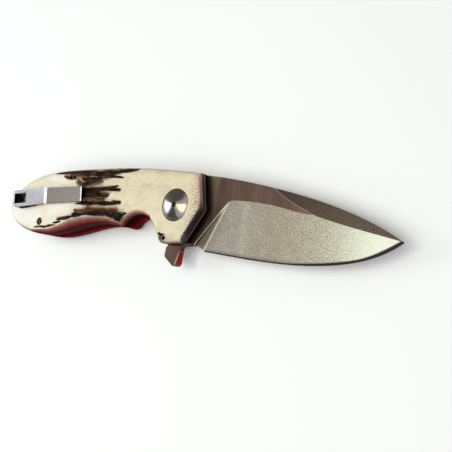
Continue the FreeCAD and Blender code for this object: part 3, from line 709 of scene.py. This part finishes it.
def ground_steel(name, colour, lighter, roughness, density=(3.0, 3.0, 3.0), depth=0.006, socket=None):
    """Steel with a grain: tone and relief come from the shared grain group, stretched by its density.
    Deeper than the socket height, if there is one, the steel carries a painted shade."""
    material, nt, shader = new_finish(name, metallic=1.0)
    place = knife_place(nt)
    grain = place_group(nt, GRAIN, place=place, density=density)
    tone = mix(nt, grain["Tone"], colour, lighter)
    # Painted shade in the socket
    if socket:
        height = unsigned(nt, split(nt, place)[2])
        tone = mix(nt, step(nt, height, socket, socket - SOCKET_FADE), tone, SOCKET_SHADE)
    fill(nt, shader, {"Base Color": tone, "Roughness": line(nt, grain["Tone"], 0.12, roughness)})
    relief(nt, shader, times(nt, grain["Height"], depth))
    return material


def red_fibre():
    """Pressed paper fibre: a fine tangle of lighter and darker threads, with painted shade on the clip
    side, and pale where the front end is sawn."""
    material, nt, shader = new_finish("red_fibre")
    place = knife_place(nt)
    threads = mottle(nt, stretch(nt, place, (0.8, 0.8, 3.0)), 1.6, 6.0, 0.7)
    colour = coats(
        nt, FIBRE_DARK, (step(nt, threads, 0.35, 0.7), FIBRE_RED),
        (step(nt, split(nt, place)[2], 0.0, 1.0), FIBRE_SHADE, 0.8),
        (step(nt, past_front(nt, place), -0.6, -0.2), FIBRE_FRONT))
    fill(nt, shader, {"Base Color": colour, "Roughness": line(nt, threads, 0.2, 0.6),
                      "Specular IOR Level": 0.08})
    relief(nt, shader, times(nt, threads, 0.02))
    return material


def black_laminate():
    """Layers of glass cloth: thin stripes across the thickness, broken by the weave."""
    material, nt, shader = new_finish("black_laminate")
    place = knife_place(nt)
    layer = sine(nt, times(nt, split(nt, place)[2], LAYERS))
    weave = mottle(nt, stretch(nt, place, (2.0, 2.0, 0.6)), 1.5, 3.0)
    stripe = times(nt, step(nt, layer, -0.2, 0.9), weave)
    fill(nt, shader, {"Base Color": mix(nt, stripe, srgb(18, 18, 19), srgb(62, 61, 58)),
                      "Roughness": line(nt, weave, 0.2, 0.45)})
    relief(nt, shader, times(nt, stripe, 0.02))
    return material


def liner_finish():
    """Blackened steel, with a painted red reflection on the show-side liner towards the belly and on
    both inner faces further forward."""
    material, nt, shader = new_finish("blackened_liner_steel")
    place = knife_place(nt)
    grain = place_group(nt, GRAIN, place=place, density=(0.5, 4.0, 4.0))
    black = mix(nt, grain["Tone"], srgb(10, 9, 9), srgb(24, 21, 21))
    # A painted red reflection
    red = mix(nt, grain["Tone"], srgb(92, 6, 12), srgb(128, 12, 16))
    level = unsigned(nt, facing(nt)[2])
    x, y, z = split(nt, place)
    inner = step(nt, unsigned(nt, z), LINER_IN + 0.2, LINER_IN + 0.1)
    inner = times(nt, times(nt, inner, step(nt, level, 0.5, 0.8)), step(nt, x, *INNER_X))
    far_belly = times(nt, step(nt, z, 0.0, -1.0), step(nt, y, *BELLY_SIDE_Y))
    fill(nt, shader, {
        "Base Color": mix(nt, most(nt, inner, far_belly), black, red),
        "Roughness": line(nt, grain["Tone"], 0.12, 0.7), "Specular IOR Level": 0.02})
    relief(nt, shader, times(nt, grain["Height"], 0.012))
    return material


liner_steel = liner_finish()
screw_steel = ground_steel("bright_screw_steel", srgb(150, 146, 140), srgb(196, 192, 186), 0.24)
bearing_steel = ground_steel("polished_bearing_steel", srgb(186, 186, 188), srgb(214, 214, 216), 0.1,
                             (4.0, 4.0, 4.0), 0.002)
bronze = ground_steel("bronze_strip", srgb(172, 124, 66), srgb(204, 156, 92), 0.3,
                      (1.0, 5.0, 2.0), 0.008)
wear(liner_steel, "liner_clip_side", "liner_show_side")
wear(screw_steel, "stop_pin", "liner_screws_clip_side", "liner_screws_show_side")
wear(bearing_steel, "race_clip_side", "race_show_side", "bearing_balls_clip_side",
     "bearing_balls_show_side")
wear(bronze, "bearing_cage_clip_side", "bearing_cage_show_side")
wear(red_fibre(), "spacer_clip_side", "spacer_show_side")
wear(black_laminate(), "backspacer")

# %% [markdown]
# ## Turned heads and screws
#
# The pivot heads and the screws come off a lathe, so each is a profile carried round an axis. A Spin or
# Screw modifier would do that too, but a formula also lets the profile swell and shrink six times in a
# turn, which makes the star socket in the middle of each head.

# %% Turned pieces
SPOKES, LOBES, SHARP = 96, 6, math.radians(28)


def turned(profile, centres):
    """Surfaces of revolution. Each row of the profile is (radius, height, lobe); round the axis the
    radius is radius times (1 + lobe times cos of LOBES times the angle). The first and last rows lie on
    the axis and close the piece with a fan. One copy stands on each centre, all in millimetres from the
    pivot."""
    rows = np.array(profile, float)
    angle = np.linspace(0, 2 * math.pi, SPOKES, endpoint=False)
    ring = rows[1:-1, :, None]
    radius = ring[:, 0] * (1 + ring[:, 2] * np.cos(LOBES * angle))
    height = np.broadcast_to(ring[:, 1], radius.shape)
    wall = np.stack((radius * np.cos(angle), radius * np.sin(angle), height), -1).reshape(-1, 3)
    points = np.r_[wall, [(0, 0, rows[0, 1]), (0, 0, rows[-1, 1])]]
    level, spoke = np.meshgrid(np.arange(len(rows) - 3), np.arange(SPOKES), indexing="ij")
    low, high, after = level * SPOKES, (level + 1) * SPOKES, (spoke + 1) % SPOKES
    quads = np.stack((low + spoke, low + after, high + after, high + spoke), -1).reshape(-1, 4)
    around = np.arange(SPOKES)
    onward, last = (around + 1) % SPOKES, len(wall) - SPOKES
    low_fan = np.stack((np.full(SPOKES, len(wall)), onward, around), -1)
    high_fan = np.stack((np.full(SPOKES, len(wall) + 1), last + around, last + onward), -1)
    offsets = np.arange(len(centres)) * len(points)
    where = np.c_[np.array(centres, float), np.zeros(len(centres))]
    everywhere = (points[None] + where[:, None]).reshape(-1, 3)
    faces = []
    for block in (quads, low_fan, high_fan):
        faces += (block[None] + offsets[:, None, None]).reshape(-1, block.shape[1]).tolist()
    return everywhere, faces


def mirrored(profile):
    """The same profile on the show side: heights change sign and the order turns round."""
    return [(radius, -height, lobe) for radius, height, lobe in reversed(profile)]


def dressed(name, mesh, material, body):
    """Put a mesh into the scene with its finish, riding on a body."""
    mesh.materials.clear()
    mesh.materials.append(material)
    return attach(new_object(name, mesh), body)


def add_turned(solid, profile, centres, material):
    """Let turned pieces stand for a solid of the handle, smooth but for their sharp edges."""
    name = solid + "_turned"
    points, faces = turned(profile, centres)
    mesh = bpy.data.meshes.new(name)
    mesh.from_pydata(to_row(points).tolist(), [], faces)
    mesh.polygons.foreach_set("use_smooth", np.ones(len(mesh.polygons), bool))
    mesh.set_sharp_from_angle(angle=SHARP)
    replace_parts(dressed(name, mesh, material, "handle"), solid)
    print(name, len(mesh.vertices), "points, stands for", solid)


# %% [markdown]
# The rings of the tool scatter light across themselves and hardly along, so the steel of the pivot
# heads is anisotropic round the axis, and each lamp spreads into a fan from the middle to the rim.

# %% Pivot heads and screws
HEAD_TOP, HEAD_LOW, HEAD_RADIUS = 7.3, 5.6, 6.35
CONE_RISE, DISH_DEPTH = 1.1, 0.7
FACE_OUT, FACE_SPAN, FACE_SHARES = 5.95, 5.0, np.array((0.3, 0.65, 0.96))
SCREW_TOP, SCREW_SEAT, SCALE_SHANK = 6.5, 5.3, 0.9
CLIP_SHANK, CLIP_HEAD_HEIGHT = 1.0, 0.9
RING_COUNT, SOCKET_EDGE = 16.0, (1.12, 0.9)

# Rims and sockets as rows of (radius, depth under the top, lobe)
HEAD_RIM = ((HEAD_RADIUS, 0.12, 0), (HEAD_RADIUS - 0.04, 0.04, 0), (HEAD_RADIUS - 0.12, 0, 0),
            (HEAD_RADIUS - 0.38, 0, 0))
HEAD_SOCKET = ((1.0, 0.03, 0.08), (0.93, 0.14, 0.13), (0.88, 0.7, 0.13), (0, 0.78, 0))
SCALE_HEAD = ((1.5, 0.14, 0), (1.45, 0.05, 0), (1.34, 0, 0), (0.9, 0, 0.12), (0.82, 0.06, 0.14),
              (0.78, 0.7, 0.14), (0, 0.8, 0))
CLIP_HEAD = ((1.9, 0.3, 0), (1.8, 0.12, 0), (1.55, 0, 0), (1.1, 0, 0.12), (1.0, 0.08, 0.14),
             (0.96, 0.6, 0.14), (0, 0.65, 0))


def turned_steel():
    """Bright steel with the rings of the turning tool, and painted shade in the socket."""
    material, nt, shader = new_finish("turned_steel", metallic=1.0)
    place = knife_place(nt)
    rings = place_group(nt, RINGS, place=place, count=RING_COUNT)
    colour = mix(nt, rings["Tone"], srgb(104, 97, 94), srgb(122, 115, 112))
    radius = length(nt, scaled(nt, place, (1, 1, 0)))
    # Painted shade in the socket
    colour = mix(nt, step(nt, radius, *SOCKET_EDGE), colour, srgb(52, 46, 38))
    around = node(nt, "Tangent", direction_type="RADIAL", axis="Z").outputs["Tangent"]
    fill(nt, shader, {
        "Base Color": colour, "Roughness": line(nt, rings["Tone"], 0.05, 0.12),
        "Anisotropic": 0.8, "Anisotropic Rotation": 0.25, "Tangent": around})
    relief(nt, shader, times(nt, rings["Height"], 0.004))
    return material


def under(top, rows):
    """Rows counted from a top become rows of a profile."""
    return [(radius, top - depth, lobe) for radius, depth, lobe in rows]


def pivot_head(crown):
    """A pivot head: an eased rim, a straight face up or down to the crown, and a socket."""
    height = HEAD_TOP + (crown - HEAD_TOP) * FACE_SHARES
    face = np.c_[FACE_OUT - FACE_SPAN * FACE_SHARES, height, np.zeros(len(height))].tolist()
    return [(HEAD_RADIUS, HEAD_LOW, 0)] + under(HEAD_TOP, HEAD_RIM) + face + under(crown, HEAD_SOCKET)


def small_screw(top, seat, shank, head):
    """A screw with a shank from the liner's inner face to its seat, and a head above."""
    stem = [(0, LINER_IN, 0), (shank, LINER_IN, 0), (shank, seat, 0), (head[0][0], seat, 0)]
    return stem + under(top, head)


screw_shank = [(0, -1.5, 0), (1.6, -1.5, 0), (1.6, HEAD_LOW, 0)]
barrel_shank = [(0, 1.55, 0), (1.62, 1.55, 0), (1.62, -5.55, 0), (2.5, -5.55, 0), (2.5, HEAD_LOW, 0)]
barrel = mirrored(barrel_shank + pivot_head(HEAD_TOP - DISH_DEPTH))
turned_finish = turned_steel()
add_turned("pivot_screw", screw_shank + pivot_head(HEAD_TOP + CONE_RISE), [(0, 0)], turned_finish)
add_turned("pivot_barrel", barrel, [(0, 0)], turned_finish)

# Their sockets take painted shade
head_steel = ground_steel("bright_screw_heads", srgb(142, 134, 122), srgb(184, 176, 164), 0.26,
                          socket=SCREW_TOP - 0.04)
scale_screw = small_screw(SCREW_TOP, SCREW_SEAT, SCALE_SHANK, SCALE_HEAD)
add_turned("scale_screws_clip_side", scale_screw, SCREW_PLACES, head_steel)
add_turned("scale_screws_show_side", mirrored(scale_screw), SCREW_PLACES, head_steel)

screw_low, screw_high = (np.array(corner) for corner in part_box("clip_screw"))
clip_screw_place = ((screw_low + screw_high) / 2 - pivot)[:2] / MM
clip_screw_top = (screw_high[2] - pivot[2]) / MM
clip_screw = small_screw(clip_screw_top, clip_screw_top - CLIP_HEAD_HEIGHT, CLIP_SHANK, CLIP_HEAD)
# The screw in the clip's window is dark: a painted shade
clip_screw_shade = ground_steel("shaded_clip_screw_steel", srgb(34, 34, 33), srgb(70, 69, 66), 0.3)
add_turned("clip_screw", clip_screw, [clip_screw_place], clip_screw_shade)

# %% [markdown]
# ## The clip
#
# The clip is a strip of spring steel, folded over at the butt and bent where it meets the scale. Its
# solid has knife-sharp edges; the real one is tumbled, so a copy of the solid's mesh is merged and a
# Bevel modifier rounds every edge a little. Its colours hold painted light: a painted reflection that
# differs on the two leaves, a painted highlight on the bend and at the free end, and painted shade on
# its sides and inside the fold.

# %% Clip
MERGE, FLAT_ANGLE = 2e-6, math.radians(0.4)
CLIP_TURN, CLIP_BUTT = math.radians(9.6), (-93.6, -3.5, 0.0)
CLIP_BEND, CLIP_END, CLIP_INSIDE = 20.0, 44.0, 10.2
WINDOW_BUTT, WINDOW_FRONT = (0.7, 1.0), (9.5, 8.5)
TUMBLE_WIDTH, TUMBLE_ANGLE, LEAF_WEIGHT = 0.18 * MM, math.radians(40), 90


def copy_of(name, title):
    """A merged copy of a solid's mesh, with flat areas joined into single faces."""
    mesh = solids[name].data.copy()
    mesh.name = title
    shape = bmesh.new()
    shape.from_mesh(mesh)
    bmesh.ops.remove_doubles(shape, verts=shape.verts, dist=MERGE)
    bmesh.ops.dissolve_limit(shape, angle_limit=FLAT_ANGLE, verts=shape.verts, edges=shape.edges)
    shape.to_mesh(mesh)
    shape.free()
    return mesh


def clip_steel():
    """Satin steel with painted light: a painted reflection, cool on the first leaf and darker and warm
    on the second, a painted highlight on the bend and at the free end, and painted shade on its sides
    and inside the fold."""
    material, nt, shader = new_finish("satin_clip_steel", metallic=1.0)
    place = knife_place(nt)
    grain = place_group(nt, GRAIN, place=place, density=(2.2, 2.2, 2.2))
    off = offset(nt, place, CLIP_BUTT)
    along = dot(nt, off, (math.cos(CLIP_TURN), math.sin(CLIP_TURN), 0))
    bend_highlight = near(nt, along, CLIP_BEND, 1.1, 0.3)
    cool = mix(nt, grain["Tone"], srgb(138, 138, 148), srgb(158, 157, 166))
    warm = mix(nt, grain["Tone"], srgb(88, 80, 74), srgb(102, 94, 86))
    level = facing(nt)[2]
    inside = times(nt, step(nt, split(nt, place)[2], CLIP_INSIDE, CLIP_INSIDE - 0.3),
                   step(nt, along, *WINDOW_FRONT))
    uneven = line(nt, mottle(nt, place, 0.7, 2.0), 0.7, along)
    end_highlight = times(nt, step(nt, minus(nt, uneven, CLIP_END), -0.45, -0.15), step(nt, level, 0.3, 0.5))
    # Painted reflection on the leaves, painted highlight on the bend and free end, painted shade on the
    # sides and inside the fold
    colour = coats(
        nt, cool, (step(nt, along, CLIP_BEND - 0.3, CLIP_BEND + 0.3), warm),
        (step(nt, level, 0.55, 0.25), srgb(46, 42, 40)), (bend_highlight, srgb(238, 237, 238), 0.85),
        (inside, srgb(38, 36, 35), step(nt, along, *WINDOW_BUTT)), (end_highlight, srgb(236, 233, 228)))
    fill(nt, shader, {
        "Base Color": colour, "Metallic": minus(nt, 1.0, times(nt, end_highlight, 0.9)),
        "Roughness": line(nt, grain["Tone"], 0.1, 0.3)})
    relief(nt, shader, times(nt, grain["Height"], 0.02))
    return material


clip_mesh = copy_of("pocket_clip", "pocket_clip_tumbled")
clip = dressed("pocket_clip_tumbled", clip_mesh, clip_steel(), "handle")
tumbled = clip.modifiers.new("tumbled edges", "BEVEL")
tumbled.width = TUMBLE_WIDTH
tumbled.segments = 2
tumbled.limit_method = "ANGLE"
tumbled.angle_limit = TUMBLE_ANGLE
clip.modifiers.new("flat leaves", "WEIGHTED_NORMAL").weight = LEAF_WEIGHT
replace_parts(clip, "pocket_clip")
print("clip with", len(clip_mesh.polygons), "faces before its edges are rounded")

# %% [markdown]
# ## Hollows in the stag
#
# Polishing takes off the pale core but not the bark, which lies a little deeper. Sculpting would follow
# a hand; here a copy of each scale is cut into a fine grid on its outer face, and its points sink where
# the streaks of the finish lie, so that finish and shape agree but for the frayed rims.

# %% Carve the scales
GRID = ((0, np.arange(-83.0, -19.0, 0.7)), (1, np.arange(-17.5, 15.0, 0.4)))
SNAP, SAME_HEIGHT = 0.02 * MM, 1e-3
RIM_OUTSIDE, RIM_WIDTH = 0.25, 0.8
FLUTE_SHARE, FLUTE_COUNT, FLUTE_SWAY = 0.25, 4.6, 0.4


def streak_depth(points, streaks):
    """The streak group in numpy: 1 on a middle line, 0 on a rim; the greatest is kept."""
    start, end, first, last = np.split(np.array(streaks), (2, 4, 5), axis=1)
    along = end - start
    off = points[:, None] - start
    share = np.clip((off * along).sum(-1) / (along * along).sum(-1), 0, 1)
    far = np.linalg.norm(off - share[..., None] * along, axis=-1)
    return (1 - far / (first[:, 0] + share * (last - first)[:, 0])).max(1)


def cut_grid(mesh):
    """Cut the flat outer face of a scale along the lines of the grid."""
    shape = bmesh.new()
    shape.from_mesh(mesh)
    heights = ((face, abs(face.calc_center_median().z - pivot[2]) / MM) for face in shape.faces)
    outer = [face for face, height in heights if abs(height - SCALE_FACE) < SAME_HEIGHT]
    edges = {edge for face in outer for edge in face.edges}
    corners = {corner for face in outer for corner in face.verts}
    geom = outer + list(edges) + list(corners)
    for axis, places in GRID:
        for place in places:
            where, towards = np.zeros(3), np.zeros(3)
            where[axis], towards[axis] = place, 1.0
            geom = bmesh.ops.bisect_plane(shape, geom=geom, dist=SNAP, plane_co=to_row(where),
                                          plane_no=towards)["geom"]
    bmesh.ops.dissolve_degenerate(shape, edges=shape.edges, dist=SNAP)
    shape.to_mesh(mesh)
    shape.free()


def column(items, key, width=1, kind=float):
    """One property of all points, corners or faces of a mesh, as a numpy array."""
    values = np.empty(len(items) * width, kind)
    items.foreach_get(key, values)
    return values.reshape(-1, width) if width > 1 else values


def knife_points(mesh):
    """The points of a mesh in millimetres from the pivot."""
    return (column(mesh.vertices, "co", 3) - pivot) / MM


def sink_bark(mesh, streaks):
    """Points of the outer face sink by BARK_DEPTH times a smooth step of the streak depth,
    3 t^2 - 2 t^3, with shallow flutes along the handle. Points on the rim of the face stay, so the
    scale stays closed."""
    points = knife_points(mesh)
    owner = column(mesh.loops, "vertex_index", kind=int)
    sides = column(mesh.polygons, "loop_total", kind=int)
    height = np.abs(column(mesh.polygons, "center", 3)[:, 2] - pivot[2]) / MM
    free = np.ones(len(points), bool)
    free[owner[np.repeat(height < SCALE_FACE - SAME_HEIGHT, sides)]] = False
    t = np.clip((streak_depth(points[:, :2], streaks) + RIM_OUTSIDE) / RIM_WIDTH, 0, 1)
    wave = np.sin(FLUTE_COUNT * points[:, 1] + np.sin(FLUTE_SWAY * points[:, 0]))
    flutes = 1 - FLUTE_SHARE + FLUTE_SHARE * wave
    sunk = BARK_DEPTH * t * t * (3 - 2 * t) * flutes * free
    points[:, 2] -= np.sign(points[:, 2]) * sunk
    mesh.vertices.foreach_set("co", to_row(points).ravel())


for name, finish, streaks in (("scale_clip_side", stag_clip_side, CLIP_SIDE_BARK),
                              ("scale_show_side", stag_show_side, SHOW_SIDE_BARK)):
    mesh = copy_of(name, name + "_carved")
    cut_grid(mesh)
    sink_bark(mesh, streaks)
    piece = dressed(name + "_carved", mesh, finish, "handle")
    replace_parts(piece, name)
    print(piece.name, len(mesh.polygons), "faces")

# %% [markdown]
# ## The lock bar
#
# The lock bar is a spring: open, its nose stands behind the blade; shut, the blade pushes it flat into
# the liner. A joint can't bend it, so a copy of its mesh rides on the lock body as it stands.
# A thumb pushes it flat as well, and then it must not rub on the fibre behind it, so its outer face is
# taken back by a hair.

# %% Lock bar and detent ball
LOCK_LEAN = math.tan(math.radians(1.5))
HAIR, SPRING_KEEP = 0.06, 0.5


def take_back(mesh):
    """Thin the leaning bar from its outer face: a point goes inwards by HAIR times its share of the
    thickness. The thickness is counted from the inner face, which sinks by LOCK_LEAN times the distance
    from the root."""
    points = knife_points(mesh)
    sunk = (points[:, 0] - points[:, 0].min()) * LOCK_LEAN
    share = (points[:, 2] + sunk - LINER_IN) / (LINER_OUT - LINER_IN)
    points[:, 2] -= HAIR * share
    mesh.vertices.foreach_set("co", to_row(points).ravel())


for name, finish, slot in (("lock_bar", liner_steel, "liner_steel"),
                           ("detent_ball", bearing_steel, "bearing_steel")):
    mesh = copy_of(name, name + "_spring")
    if name == "lock_bar":
        take_back(mesh)
    piece = dressed(name + "_spring", mesh, finish, "lock")
    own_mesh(piece)
    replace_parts(piece, name)
    print(piece.name, "flattens to", SPRING_KEEP)
